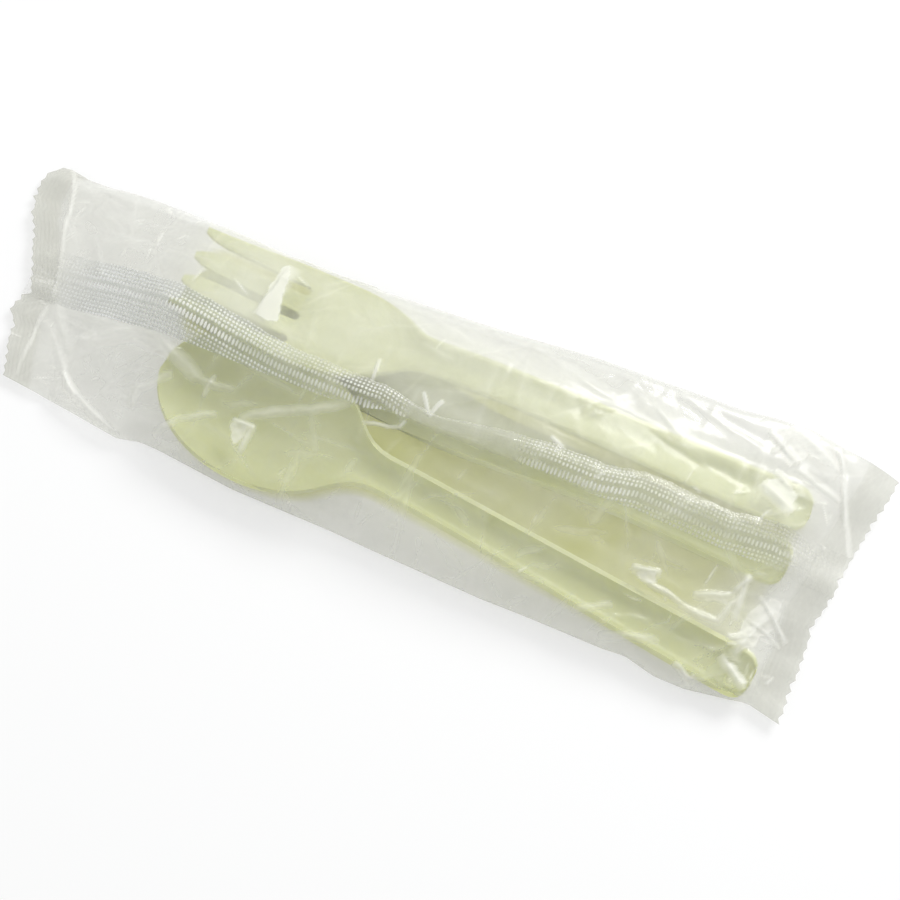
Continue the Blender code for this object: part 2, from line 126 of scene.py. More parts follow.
world = bpy.data.worlds.new("pale_room")
bpy.context.scene.world = world
world.use_nodes = True
tree = world.node_tree
tree.nodes.clear()
path = node(tree, "ShaderNodeLightPath")
room = node(tree, "ShaderNodeBackground", {"Color": to_linear("#F7F8F8"), "Strength": ROOM_LIGHT})
white = node(tree, "ShaderNodeBackground", {"Color": WHITE, "Strength": 1.0})
seen = node(
    tree,
    "ShaderNodeMixShader",
    {0: path.outputs["Is Camera Ray"], 1: room.outputs[0], 2: white.outputs[0]},
)
node(tree, "ShaderNodeOutputWorld", {"Surface": seen.outputs[0]})

bpy.ops.mesh.primitive_plane_add(size=6, location=(0, 0, -0.1 * MM))
table = bpy.context.object
table.name = "studio_table"
material, tree = empty_material("white_paper_table")
path = node(tree, "ShaderNodeLightPath")
paper = node(tree, "ShaderNodeBsdfDiffuse", {"Color": PAPER})
glow = node(tree, "ShaderNodeEmission", {"Color": WHITE, "Strength": 1.0})
share = node(
    tree,
    "ShaderNodeMath",
    {0: path.outputs["Is Camera Ray"], 1: TABLE_GLOW},
    operation="MULTIPLY",
)
mixed = node(
    tree,
    "ShaderNodeMixShader",
    {0: share.outputs[0], 1: paper.outputs[0], 2: glow.outputs[0]},
)
node(tree, "ShaderNodeOutputMaterial", {"Surface": mixed.outputs[0]})
table.data.materials.append(material)


# Cutlery: three injection mouldings in a plastic filled with plant starch. It is a pale yellowish
# green, satin from the mould, a little cloudy inside, and mottled where the starch is denser.
EDGE_ROUND = 0.22 * MM
SHARP_EDGE = math.radians(45)


def starch_plastic(name, base, deep):
    """The plastic in its base colour, with clouds of the deep one."""
    material, tree = empty_material(name)
    place = node(tree, "ShaderNodeTexCoord").outputs["Object"]
    # Clouds of denser starch about 12 mm wide, and specks of about 0.4 mm.
    clouds = node(
        tree,
        "ShaderNodeTexNoise",
        {"Vector": place, "Scale": 85.0, "Detail": 3.0, "Roughness": 0.55},
    ).outputs["Fac"]
    specks = node(
        tree,
        "ShaderNodeTexNoise",
        {"Vector": place, "Scale": 2400.0, "Detail": 1.0},
    ).outputs["Fac"]
    mottle = node(
        tree,
        "ShaderNodeMix",
        {"Factor": clouds, COLOUR_A: to_linear(base), COLOUR_B: to_linear(deep)},
        data_type="RGBA",
    )
    worn = node(tree, "ShaderNodeMapRange", {"Value": clouds, "To Min": 0.36, "To Max": 0.52})
    relief = node(
        tree,
        "ShaderNodeBump",
        {"Height": specks, "Strength": 0.12, "Distance": 0.05 * MM},
    )
    shader = node(
        tree,
        "ShaderNodeBsdfPrincipled",
        {
            "Base Color": mottle.outputs[COLOUR_OUT],
            "Roughness": worn.outputs[0],
            "Normal": relief.outputs[0],
            "IOR": 1.47,
            "Subsurface Weight": 0.40,
            "Subsurface Radius": (1.0, 0.9, 0.45),
            "Subsurface Scale": 1.6 * MM,
        },
    )
    node(tree, "ShaderNodeOutputMaterial", {"Surface": shader.outputs[0]})
    return material


cutlery_plastic = starch_plastic("moulded_starch_plastic", "#DADDB2", "#CBCF99")
for solid in (fork, knife, spoon):
    # The moulding's own outline, with the small round edges that a mould leaves.
    piece = solid.copy()
    piece.data = solid.data.copy()
    piece.name = "moulded_" + solid.name
    bpy.context.collection.objects.link(piece)
    piece.parent = None
    bpy.ops.object.select_all(action="DESELECT")
    piece.select_set(True)
    bpy.context.view_layer.objects.active = piece
    if piece.data.has_custom_normals:
        bpy.ops.mesh.customdata_custom_splitnormals_clear()
    bpy.ops.object.mode_set(mode="EDIT")
    bpy.ops.mesh.select_all(action="SELECT")
    bpy.ops.mesh.remove_doubles(threshold=0.001 * MM)
    bpy.ops.mesh.tris_convert_to_quads(
        face_threshold=math.radians(35), shape_threshold=math.radians(60)
    )
    bpy.ops.object.mode_set(mode="OBJECT")
    rounding = piece.modifiers.new("round_edges", "BEVEL")
    rounding.width = EDGE_ROUND
    rounding.segments = 2
    rounding.angle_limit = SHARP_EDGE
    rounding.harden_normals = False
    finer = piece.modifiers.new("finer", "SUBSURF")
    finer.levels = finer.render_levels = 1
    for modifier in ("round_edges", "finer"):
        bpy.ops.object.modifier_apply(modifier=modifier)
    bpy.ops.object.shade_smooth()
    piece.data.materials.clear()
    piece.data.materials.append(cutlery_plastic)
    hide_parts(solid.name)
    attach(piece, "root")


# Film sleeve: one web of clear polypropylene film, folded round the cutlery into a tube, heat
# sealed and cut with a zig-zag knife at both ends. It is stretched over the highest parts of the
# cutlery, hangs slack between them, and keeps the sharp crinkles that the packing machine gave it.
# Its grid runs along the pack and across it, and the lengths below are in millimetres.
SEAL_CELLS, BODY_CELLS, ACROSS = 28, 496, 168
LENGTH = 220.0
SEAL = 8.0
SEAL_HEIGHT = 1.2
SEAL_GAP = 0.12
FILM_CLEAR = 0.35
SIDE_LOW, SIDE_RISE = 1.4, 2.6
SIDE_ROUND = 2.6
# From each seal: where the film has come down to the table, hangs free, and has full sides.
ON_TABLE, FREE, FULL_SIDES = 7, 10, 16
TOOTH, TOOTH_REACH, TOOTH_CELLS = 1.0, 2.4, 7
CRIMP, CRIMP_PITCH = 0.045, 1.2
WAVE = 0.12
# Rays start high above the pack, or low in its hollow. From there they meet the solid film's upper
# sheet on its inner face, and its outer face is one thickness further up.
ABOVE_PACK, IN_PACK = 60, 0.7
SOLID_THICK, SOLID_LOWEST = 0.25, 1.2


def tree_of(shape):
    """The shape's own mesh, for rays."""
    mesh = shape.data
    corners = [vertex.co.copy() for vertex in mesh.vertices]
    return BVHTree.FromPolygons(corners, [tuple(face.vertices) for face in mesh.polygons])


cutlery_trees = [tree_of(piece) for piece in (fork, knife, spoon)]
solid_film = tree_of(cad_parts["film_wrapper"])

# The pack's outline, from the photograph: X of the two cut ends over Y, and Y of the two long
# sides over X.
LEFT_CUT = (
    (-29.5, -101.6), (-22, -104.2), (-15, -106.2), (-13, -108.2), (-8.6, -107.6), (-6.4, -105.4),
    (-2.9, -107.2), (3.3, -110.1), (10.3, -113.4), (14.2, -115.9), (15.3, -115.3), (17.9, -117.1),
    (23.8, -117), (26, -115.7), (27.3, -113.2),
)
RIGHT_CUT = (
    (-35.5, 107.6), (-25, 107.6), (-19.6, 107.8), (-10.4, 107.2), (-2.9, 109), (7, 110),
    (16.3, 111.7), (23.7, 113), (31.4, 114),
)
FAR_SIDE = (
    (-117, 26.4), (-113.4, 27.1), (-110.7, 27.5), (-105, 26.6), (-95, 27.6), (-85, 28.2),
    (-66, 28.4), (-48, 27.6), (-34, 27.5), (-10, 29), (11, 30.6), (34, 33), (48, 33.5),
    (62, 34.2), (72, 34.5), (80, 35.7), (90, 36.4), (100, 35.4), (105, 34.3), (114, 31.2),
)
NEAR_SIDE = (
    (-102, -29.6), (-89, -30.8), (-81, -31.8), (-68, -33.4), (-62, -32), (-57, -32.1), (-36, -34),
    (-9, -34.1), (1, -34.5), (31, -35.2), (43, -34.9), (62, -34.9), (68, -34.4), (76, -36.2),
    (84, -36.2), (94, -34.3), (99, -33.6), (108, -35.4),
)
# Half the width of each cut end, and its middle.
LEFT_HALF, LEFT_MIDDLE = 28.4, -1.1
RIGHT_HALF, RIGHT_MIDDLE = 33.4, -2.0


def through(points, at):
    """Reads the broken line through the points at the given places."""
    return np.interp(at, [p[0] for p in points], [p[1] for p in points])


def ramp(value, low, high):
    """0 below low, 1 above high, and a smooth ramp between."""
    u = np.clip((np.asarray(value, float) - low) / (high - low), 0, 1)
    return u * u * (3 - 2 * u)


along = np.concatenate(
    [
        np.linspace(0, SEAL, SEAL_CELLS, endpoint=False),
        np.linspace(SEAL, LENGTH - SEAL, BODY_CELLS, endpoint=False),
        np.linspace(LENGTH - SEAL, LENGTH, SEAL_CELLS + 1),
    ]
)
ALONG = len(along) - 1
across = np.linspace(-1, 1, ACROSS + 1)
P, V = np.meshgrid(along, across, indexing="ij")
left_x = through(LEFT_CUT, LEFT_HALF * V + LEFT_MIDDLE)
right_x = through(RIGHT_CUT, RIGHT_HALF * V + RIGHT_MIDDLE)
to_right = ramp(P, 20, LENGTH - 20)
X = (left_x + P) * (1 - to_right) + (right_x - LENGTH + P) * to_right
near_y, far_y = through(NEAR_SIDE, X), through(FAR_SIDE, X)
Y = near_y + (far_y - near_y) * (V + 1) / 2
# Teeth of the zig-zag knife, 2.6 mm apart, some of them crushed.
rng = np.random.default_rng(11)
tooth = 1 - np.abs((np.arange(ACROSS + 1) % TOOTH_CELLS) - TOOTH_CELLS / 2) / (TOOTH_CELLS / 2)
at_left, at_right = 1 - ramp(P, 0, TOOTH_REACH), ramp(P, LENGTH - TOOTH_REACH, LENGTH)
for inward, at_cut in ((1, at_left), (-1, at_right)):
    crushed = rng.uniform(0.35, 1.15, ACROSS // TOOTH_CELLS + 1)
    crushed = np.repeat(crushed, TOOTH_CELLS)[: ACROSS + 1]
    X += inward * TOOTH * (tooth * crushed)[None, :] * at_cut

# What holds the film up: the cutlery below it, and for the air in the pack the solid film's height.
from_end = np.minimum(P, LENGTH - P)
free = ramp(from_end, SEAL, SEAL + FREE)
floor = SEAL_HEIGHT * (1 - ramp(from_end, SEAL, SEAL + ON_TABLE))
held = np.zeros_like(X)
blown = np.full_like(X, np.nan)
down, up = Vector((0, 0, -1)), Vector((0, 0, 1))
for i in range(ALONG + 1):
    for j in range(ACROSS + 1):
        start = Vector((X[i, j], Y[i, j], ABOVE_PACK)) * MM
        for shape in cutlery_trees:
            hit = shape.ray_cast(start, down)[0]
            if hit is not None:
                held[i, j] = max(held[i, j], hit.z / MM + FILM_CLEAR)
        hit = solid_film.ray_cast(Vector((X[i, j], Y[i, j], IN_PACK)) * MM, up)[0]
        inside = SEAL + 6 < along[i] < LENGTH - SEAL - 6
        if hit is not None and hit.z > SOLID_LOWEST * MM and inside:
            blown[i, j] = hit.z / MM + SOLID_THICK

side_height = SIDE_LOW + SIDE_RISE * ramp(from_end, SEAL, SEAL + FULL_SIDES)
side_height = SEAL_GAP + side_height * free
side_top = floor + side_height
top = np.maximum(held, side_top)
covered = held > 0
# The slack settles between the places that hold it, in coarse steps first, so that it does so over
# the whole width. It pulls a little more across the pack than along it.
for step, rounds in ((12, 60), (6, 120), (3, 160), (1, 200)):
    for _ in range(rounds):
        mean = (top[2 * step :, step:-step] + top[: -2 * step, step:-step]) * 0.22
        mean = mean + (top[step:-step, 2 * step :] + top[step:-step, : -2 * step]) * 0.28
        top[step:-step, step:-step] = np.maximum(mean, held[step:-step, step:-step])
        top[:, 0], top[:, -1] = side_top[:, 0], side_top[:, -1]
        top = np.where(from_end < SEAL, floor + SEAL_GAP, np.maximum(top, floor + SEAL_GAP))


def softened(sheet, rounds):
    """The sheet with its small steps evened out."""
    for _ in range(rounds):
        sheet = sheet.copy()
        along_mean = sheet[2:, 1:-1] + sheet[:-2, 1:-1]
        sheet[1:-1, 1:-1] = (along_mean + sheet[1:-1, 2:] + sheet[1:-1, :-2]) / 4
    return sheet


# The pack holds some air, so the film stands off the cutlery as the solid film does.
top = np.where(from_end < SEAL, top, softened(top, 8))
airy = softened(np.where(np.isnan(blown), top, np.maximum(top, blown)), 60)
air_share = 0.9 * ramp(from_end, SEAL + 2, SEAL + FULL_SIDES)
smooth_top = top * (1 - air_share) + np.maximum(airy, top) * air_share


def pleat(start, end, near_width, far_width, x=X, y=Y):
    """A sharp straight crease, 1 high, with a sloping flank on each side, that tapers at its ends."""
    ax, ay = start
    dx, dy = end[0] - ax, end[1] - ay
    run = math.hypot(dx, dy)
    t = ((x - ax) * dx + (y - ay) * dy) / run**2
    off = ((x - ax) * -dy + (y - ay) * dx) / run
    # No crease is quite straight.
    off += 0.03 * run * np.sin(3.1 * t + ax) + 0.12 * np.sin(0.9 * x + 0.7 * y + ay)
    flank = np.where(off > 0, 1 - off / far_width, 1 + off / near_width)
    return np.clip(flank, 0, 1) ** 1.7 * np.clip(4 * t * (1 - t), 0, 1) ** 0.7


# Crinkles all over: long soft ones, and short sharp ones, most of them towards the seals and along
# the slack side by the spoon. Each is painted white along its flanks: a painted glint on the sharp
# ones and painted sheen on the soft ones, for the lamp light they would catch. Each kind has its
# number of tries and its ranges of length, flank width and painted whiteness.
CRINKLES = (
    ("soft", 300, (7, 26), (1.2, 4.0), (0.02, 0.20)),
    ("sharp", 330, (1.6, 7), (0.4, 1.3), (0.2, 0.95)),
)
STEEPEST = 0.35
crinkles, haze_and_painted_glint = np.zeros_like(X), np.zeros_like(X)
for kind, tries, lengths, widths, painted_whites in CRINKLES:
    for _ in range(tries):
        cx, cy = rng.uniform(-106, 106), rng.uniform(-34, 35)
        busy = (abs(cx) / 105) ** 3 + 0.4 * (cy < -26)
        if kind == "sharp" and rng.random() > 0.02 + busy:
            continue
        lean = rng.normal(0, 0.5)
        lean += 0 if rng.random() < 0.55 else math.pi / 2 * rng.uniform(0.5, 1)
        run = rng.uniform(*lengths)
        wide = rng.uniform(*widths, 2)
        height = rng.uniform(0.06, 0.26) * (0.6 + 1.7 * busy) * rng.choice((-1, 1, 1))
        height = np.clip(height, -STEEPEST * min(wide), STEEPEST * min(wide))
        white = rng.uniform(*painted_whites)
        half = np.array((math.cos(lean), math.sin(lean))) * run / 2
        centre = np.array((cx, cy))
        rows = np.abs(X[:, ACROSS // 2] - cx) < run / 2 + 12
        shape = pleat(centre - half, centre + half, wide[0], wide[1], X[rows], Y[rows])
        crinkles[rows] += height * shape
        haze_and_painted_glint[rows] = np.maximum(haze_and_painted_glint[rows], white * shape**1.5)

# The larger creases that the photograph shows: start, end, height, near flank, far flank, and how
# white the crease is painted, a painted glint on the sharp ones and painted sheen on the broad ones.
CREASES = (
    ((-45.9, 23.2), (-47.2, 6.4), 1.0, 0.7, 3.6, 0.5),
    ((-110.6, 28.3), (-106.0, 15.0), 0.7, 0.5, 1.0, 0.8),
    ((-108.6, 26), (-105.2, 15), 0.4, 0.5, 0.5, 0.7),
    ((-106.6, 18.3), (-101.6, 2.2), 0.6, 0.5, 1.2, 0.7),
    ((-102.4, 4.4), (-98.8, -7.8), 0.6, 0.6, 1.4, 0.6),
    ((-99.4, -6.0), (-99.2, -28.6), 0.6, 0.6, 1.0, 0.6),
    ((97.2, 34.6), (101.4, 26.6), 0.8, 0.6, 1.4, 0.8),
    ((100.8, 28.0), (106.2, 15.4), 0.8, 0.6, 1.4, 0.8),
    ((105.4, 17.0), (109.6, 9.6), 0.6, 0.5, 1.2, 0.7),
    ((-78.8, 14.6), (-79.3, 19.0), 0.5, 0.5, 0.9, 0.9),
    ((-92, -20), (-83, -12.0), 0.9, 4.0, 2.4, 0.48),
    ((-84.5, -13.4), (-71, -6.2), 0.9, 3.6, 2.4, 0.52),
    ((-73, -5.8), (-53, -14.4), 0.7, 2.4, 2.6, 0.55),
    ((-57, -13.9), (-44, -12.6), 0.6, 1.6, 1.6, 0.30),
    ((-100, -4), (-88, -19), 0.7, 3.0, 3.0, 0.30),
    ((-98, -12), (-84, -28), 0.6, 2.6, 2.0, 0.28),
    ((-96, 4), (-72, -1), 0.5, 3.0, 3.0, 0.20),
    ((-67.6, -26), (-66.5, -19.6), 0.6, 1.6, 1.6, 0.45),
    ((-66.8, -21.0), (-60, -14.6), 0.6, 1.6, 1.6, 0.42),
    ((-87.5, -23.2), (-81.4, -28.2), 0.9, 1.2, 1.6, 0.95),
    ((-83, -27.6), (-67, -33), 0.7, 1.6, 1.2, 0.60),
    ((-58.5, -30.4), (-53.6, -23.6), 0.7, 1.3, 1.5, 0.42),
    ((-54.6, -24.6), (-45.4, -20.0), 0.7, 1.3, 1.5, 0.40),
    ((-50, -11), (-50.5, -17.4), 0.5, 0.9, 1.0, 0.45),
    ((-41.6, -19.6), (-35.4, -19.6), 0.9, 1.8, 1.0, 0.85),
    ((-36.0, -19.4), (-37.4, -26.6), 0.9, 1.0, 1.6, 0.70),
    ((-40, -19.2), (-28.5, -11.6), 0.5, 1.6, 2.0, 0.48),
    ((-31, -13.0), (-16, -5.2), 0.5, 1.6, 2.0, 0.42),
    ((-13.5, 1.6), (-14.5, 8.2), 0.6, 0.5, 0.6, 0.8),
    ((-11.8, -7.8), (-2.4, -6.2), 0.5, 0.6, 0.7, 0.8),
    ((-2.8, -6.4), (-2.4, -3.8), 0.4, 0.5, 0.6, 0.8),
    ((-1.2, 4.4), (2.6, -0.4), 0.5, 0.7, 0.7, 1.0),
    ((2.2, -0.6), (4.4, 4.2), 0.5, 0.8, 0.6, 1.0),
    ((31.6, 6.6), (35.8, 4.6), 0.5, 0.8, 0.8, 0.9),
    ((61.5, -15.0), (68.5, -13.0), 1.0, 2.2, 0.8, 0.80),
    ((65.0, -16.4), (76, -18.8), 0.8, 0.9, 1.2, 0.75),
    ((75.0, -18.9), (85.5, -18.8), 0.8, 1.2, 1.6, 0.55),
    ((77.0, -14.8), (87.0, -11.4), 0.9, 2.0, 1.0, 0.60),
    ((86.5, -11.0), (88.6, -5.0), 0.9, 1.0, 1.0, 0.75),
    ((88.0, -5.0), (88.8, -16.8), 1.0, 1.2, 1.4, 0.80),
    ((84.6, -19.4), (88.8, -9.8), 0.8, 1.4, 1.0, 0.60),
    ((92.0, -9.0), (102.8, -16.2), 0.8, 0.8, 1.0, 0.75),
    ((91.0, -15.0), (101.6, -18.0), 0.5, 0.6, 0.7, 0.6),
    ((91.6, -25.4), (97.2, -10.2), 1.2, 1.6, 2.0, 0.75),
    ((88.4, -21.4), (95.6, -17.6), 0.8, 0.9, 1.2, 0.6),
    ((83.0, 17.6), (92.4, 13.2), 1.1, 2.6, 2.6, 0.95),
    ((84.6, 21.4), (90.4, 18.4), 0.8, 1.2, 1.6, 0.75),
    ((80.0, 30.6), (89.8, 26.0), 0.9, 1.0, 1.8, 0.70),
    ((82.5, 25.6), (86.5, 32.8), 0.7, 0.8, 1.0, 0.75),
    ((85.0, 34.4), (100, 28.2), 0.9, 3.4, 2.4, 0.80),
    ((90.0, 24.6), (103, 20.6), 0.6, 1.4, 1.8, 0.45),
    ((88.8, -25.6), (96.8, -31.2), 0.9, 1.8, 1.0, 0.85),
    ((79.0, -32.0), (85.4, -35.2), 0.5, 1.2, 1.0, 0.8),
    ((60.0, -33.4), (74, -28.6), 0.5, 1.4, 1.4, 0.45),
    ((52.0, -30.0), (61, -25.6), 0.5, 1.2, 1.6, 0.35),
    ((18.0, 27.4), (44, 22.6), 0.6, 2.2, 3.4, 0.28),
    ((42.0, 28.0), (62, 20.6), 0.6, 2.6, 3.2, 0.30),
    ((56.0, 31.2), (82, 26.0), 0.5, 2.4, 2.4, 0.22),
)
# Painted glints: patches between creases where the film would face the lamp, painted white instead of
# mirroring it. Corners anticlockwise, and how white they are painted.
PAINTED_GLINT_PATCHES = (
    (
        (
            (-46.9, 7.0), (-43.6, 6.4), (-41.4, 7.4), (-42.9, 13.4),
            (-44.4, 21.2), (-45.7, 22.9), (-46.9, 21.2), (-47.4, 14.0),
        ),
        1.0,
    ),
    (((84.0, 15.4), (88.6, 13.6), (92.2, 14.6), (92.0, 18.0), (87.0, 20.4), (83.6, 19.0)), 0.55),
    (((86.0, 32.4), (92.0, 29.0), (99.5, 28.2), (94.0, 32.4), (88.0, 34.8)), 0.65),
    (((-41.6, -20.8), (-39.0, -25.6), (-36.6, -22.6), (-37.0, -19.4), (-40.0, -19.2)), 0.55),
    (((91.8, -24.4), (95.6, -20.6), (97.6, -12.0), (95.2, -11.4), (92.4, -18.6)), 0.45),
    (((-87.4, -22.6), (-86.0, -27.6), (-82.6, -29.0), (-84.2, -25.4)), 0.65),
    (((-82.0, -29.0), (-74.0, -32.4), (-68.0, -33.0), (-75.0, -30.6), (-80.6, -28.0)), 0.50),
    (((61.6, -15.6), (64.8, -17.4), (68.6, -16.4), (67.6, -13.4)), 0.60),
    (((90.0, -27.0), (95.6, -31.2), (96.8, -29.4), (92.0, -26.0)), 0.70),
    (
        (
            (72.2, -15.2), (79.0, -15.7), (86.0, -14.0), (89.6, -4.6),
            (86.6, -4.0), (83.4, -9.6), (76.0, -12.5), (67.0, -12.1),
        ),
        0.34,
    ),
    (((90.1, -20.4), (95.8, -18.2), (98.9, -14.3), (98.3, -7.0), (94.8, -7.9), (91.5, -12.7)), 0.46),
    (((83.2, 28.3), (88.0, 24.3), (90.7, 28.2), (92.9, 34.9), (86.8, 36.2), (80.1, 31.1)), 0.50),
)


def facet(corners, edge=0.45):
    """1 inside the corners and 0 outside, with an edge that wanders a little."""
    inside = np.full_like(X, 9.0)
    for (ax, ay), (bx, by) in zip(corners, corners[1:] + corners[:1]):
        run = math.hypot(bx - ax, by - ay)
        off = ((X - ax) * -(by - ay) + (Y - ay) * (bx - ax)) / run
        inside = np.minimum(inside, off)
    inside += 0.20 * np.sin(1.2 * X + 0.9 * Y) + 0.10 * np.sin(2.1 * Y - 1.6 * X)
    return ramp(inside, -edge / 2, edge)


large = np.zeros_like(X)
for start, end, height, near, far, white in CREASES:
    shape = pleat(start, end, near, far)
    large += height * shape
    haze_and_painted_glint = np.maximum(haze_and_painted_glint, white * shape**0.45)
mottle = 0.86 + 0.14 * np.sin(1.9 * X + 0.7) * np.sin(2.6 * Y + 1.1)
for corners, white in PAINTED_GLINT_PATCHES:
    haze_and_painted_glint = np.maximum(haze_and_painted_glint, min(1.5 * white, 1.1) * facet(corners) * mottle)
# Painted sheen: the film is painted white where it is stretched over the fork, for the soft glare it
# gives there, less so along the handle and hardly at the ends of the slots. It is hazier near both
# seals too, and where the fin seal is pinched.
over_fork = ramp(Y, -4, 7) * (1 - ramp(Y, 20, 30)) * ramp(X, -80, -50)
painted_sheen = (0.56 - 0.12 * ramp(X, -50, -30)) * (1 - 0.35 * ramp(X, 10, 60))
slot_ends = np.exp(-(((X + 40) / 5) ** 2) - ((Y - 14) / 7) ** 2)
haze_and_painted_glint += painted_sheen * over_fork * (1 - 0.85 * slot_ends)
haze_and_painted_glint += 0.12 * (1 - ramp(X, -95, -60)) + 0.10 * ramp(X, 76, 94)
pinched = np.exp(-(((X - 8) / 15) ** 2)) * ramp(Y, -4.5, -1.5) * (1 - ramp(Y, 2, 7))
haze_and_painted_glint += 0.32 * pinched
# Painted bounce light: the lower film is painted in the plastic's yellow-green where it lies under
# the cutlery and between it, for the light that the plastic lets through and bounces there. On the
# near half the strength follows this line, over X - 0.6 Y.
PAINTED_BOUNCE_STRENGTH = (
    (-60, 0.6), (-12, 1.0), (4, 1.0), (18, 0.85), (38, 0.72), (56, 0.95), (66, 0.70), (80, 0.75),
    (96, 0.35),
)
from_near = np.maximum.accumulate(covered, axis=1)
from_far = np.maximum.accumulate(covered[:, ::-1], axis=1)[:, ::-1]
painted_bounce = np.clip(2 * softened(np.where(from_near & from_far, 1.0, 0.0), 60) - 1, 0, 1)
painted_bounce *= np.where(Y > 0, 1.0, through(PAINTED_BOUNCE_STRENGTH, X - 0.6 * Y))

# Soft waves, mostly along the slack sides: some 7 mm apart across the pack, some 26 mm along it.
waves = WAVE * np.sin(Y * 0.95 + 0.03 * X + 2 * np.sin(X * 0.035))
waves += WAVE * np.sin(0.24 * X + 0.3 * Y)
slack = 1 - 0.75 * covered
top = smooth_top + (waves * slack + crinkles) * free + large * ramp(from_end, 2, 9)
# Over the cutlery the film can't sink in: the creases flatten softly on it.
room_left = top - held + 0.1
top = np.where(covered, held - 0.1 + (room_left + np.sqrt(room_left**2 + 0.16)) / 2, top)

# Crimp lines of the seals run along their edge. The seals curl, the left one has a kink where the
# fin seal runs into it, and the far corner on the right stands up.
in_seal = 1 - ramp(from_end, SEAL - 0.8, SEAL + 0.4)
crimp = CRIMP * np.sin(2 * math.pi * from_end / CRIMP_PITCH) * in_seal
wander = 0.8 * np.sin(Y * 0.21 + np.where(P < LENGTH / 2, 0.4, 2.0))
wander += 0.35 * np.sin(Y * 0.53 + 1.0)
lift = (1 - ramp(from_end, SEAL, SEAL + FREE)) * (0.55 * wander + 0.55)
kink = 1.1 * np.exp(-(((Y + 5) / 2.2) ** 2)) * (1 - ramp(P, 4, 16))
corner = 2.6 * ramp(Y, 12, 30) * ramp(P, LENGTH - 13, LENGTH - 1)
raised = crimp + (lift + kink + corner)

# Sides: the tube turns round from the upper to the lower film on a small curve.
from_side = np.minimum(Y - near_y, far_y - Y)
turned = np.sqrt(1 - (1 - np.clip(from_side / SIDE_ROUND, 0, 1)) ** 2)
middle = floor + side_height / 2
above = middle + (top - middle) * turned
below = middle - (middle - floor) * turned
above = below + (above - below) * ramp(from_end, 0, 0.25)
above += raised
below += raised


def laid_sheet(name, x, y, z, attributes):
    """A single-skin sheet with its vertices at x, y and z, in millimetres, and with attributes. Also
    gives the row and the column of each vertex."""
    rows, columns = x.shape[0] - 1, x.shape[1] - 1
    bpy.ops.object.select_all(action="DESELECT")
    bpy.ops.mesh.primitive_grid_add(x_subdivisions=rows, y_subdivisions=columns, size=2)
    sheet = bpy.context.object
    sheet.name = name
    mesh = sheet.data
    flat = np.empty(len(mesh.vertices) * 3)
    mesh.vertices.foreach_get("co", flat)
    flat = flat.reshape(-1, 3)
    i = np.rint((flat[:, 0] + 1) / 2 * rows).astype(int)
    j = np.rint((flat[:, 1] + 1) / 2 * columns).astype(int)
    placed = np.stack([x[i, j], y[i, j], z[i, j]], axis=1) * MM
    mesh.vertices.foreach_set("co", placed.ravel())
    for key, values in attributes.items():
        layer = mesh.attributes.new(key, "FLOAT", "POINT")
        layer.data.foreach_set("value", values[i, j].astype(np.float32))
    return sheet, i, j


# The lower film is plain, so every fourth row is enough for it. Its outer side is the lower one.
blank = np.zeros_like(X)
film_sheets = []
for name, height, white, painted_bounce_values, step in (
    ("upper_film", above, haze_and_painted_glint, blank, 1),
    ("lower_film", below, blank, painted_bounce, 4),
):
    attributes = {"sealed": in_seal[::step], "haze_and_painted_glint": white[::step], "painted_bounce": painted_bounce_values[::step]}
    sheet, _, _ = laid_sheet(name, X[::step], Y[::step], height[::step], attributes)
    if name == "lower_film":
        bpy.ops.object.mode_set(mode="EDIT")
        bpy.ops.mesh.select_all(action="SELECT")
        bpy.ops.mesh.flip_normals()
        bpy.ops.object.mode_set(mode="OBJECT")
    bpy.ops.object.shade_smooth()
    film_sheets.append(sheet)
upper_film = film_sheets[0]

# The film of the sleeve and of the fin seal: its colour clear and sealed, the colour, least and most
# of its haze, what part of the light the haze lets through, how white a full crease, painted glint or
# dot is, what its faces reflect face on, and its fine relief.
SLEEVE_LOOK = {
    "clear": "#F5F5F3",
    "sealed": "#E8E8E4",
    "haze": "#FAFAF5",
    "least_haze": 0.09,
    "most_haze": 0.20,
    "lets_through": 0.38,
    "crease_and_glint_white": 0.85,
    "face_on": 0.045,
    "relief": 0.06 * MM,
    "relief_strength": 0.35,
}
# On the fin the sealed colour is darker: it is painted shade on the weld's left part.
FIN_LOOK = {
    "clear": "#FCFCFB",
    "sealed": "#E6E8E8",
    "haze": "#FFFFFF",
    "least_haze": 0.04,
    "most_haze": 0.09,
    "lets_through": 0.45,
    "crease_and_glint_white": 1.0,
    "face_on": 0.04,
    "relief": 0.12 * MM,
    "relief_strength": 0.9,
}


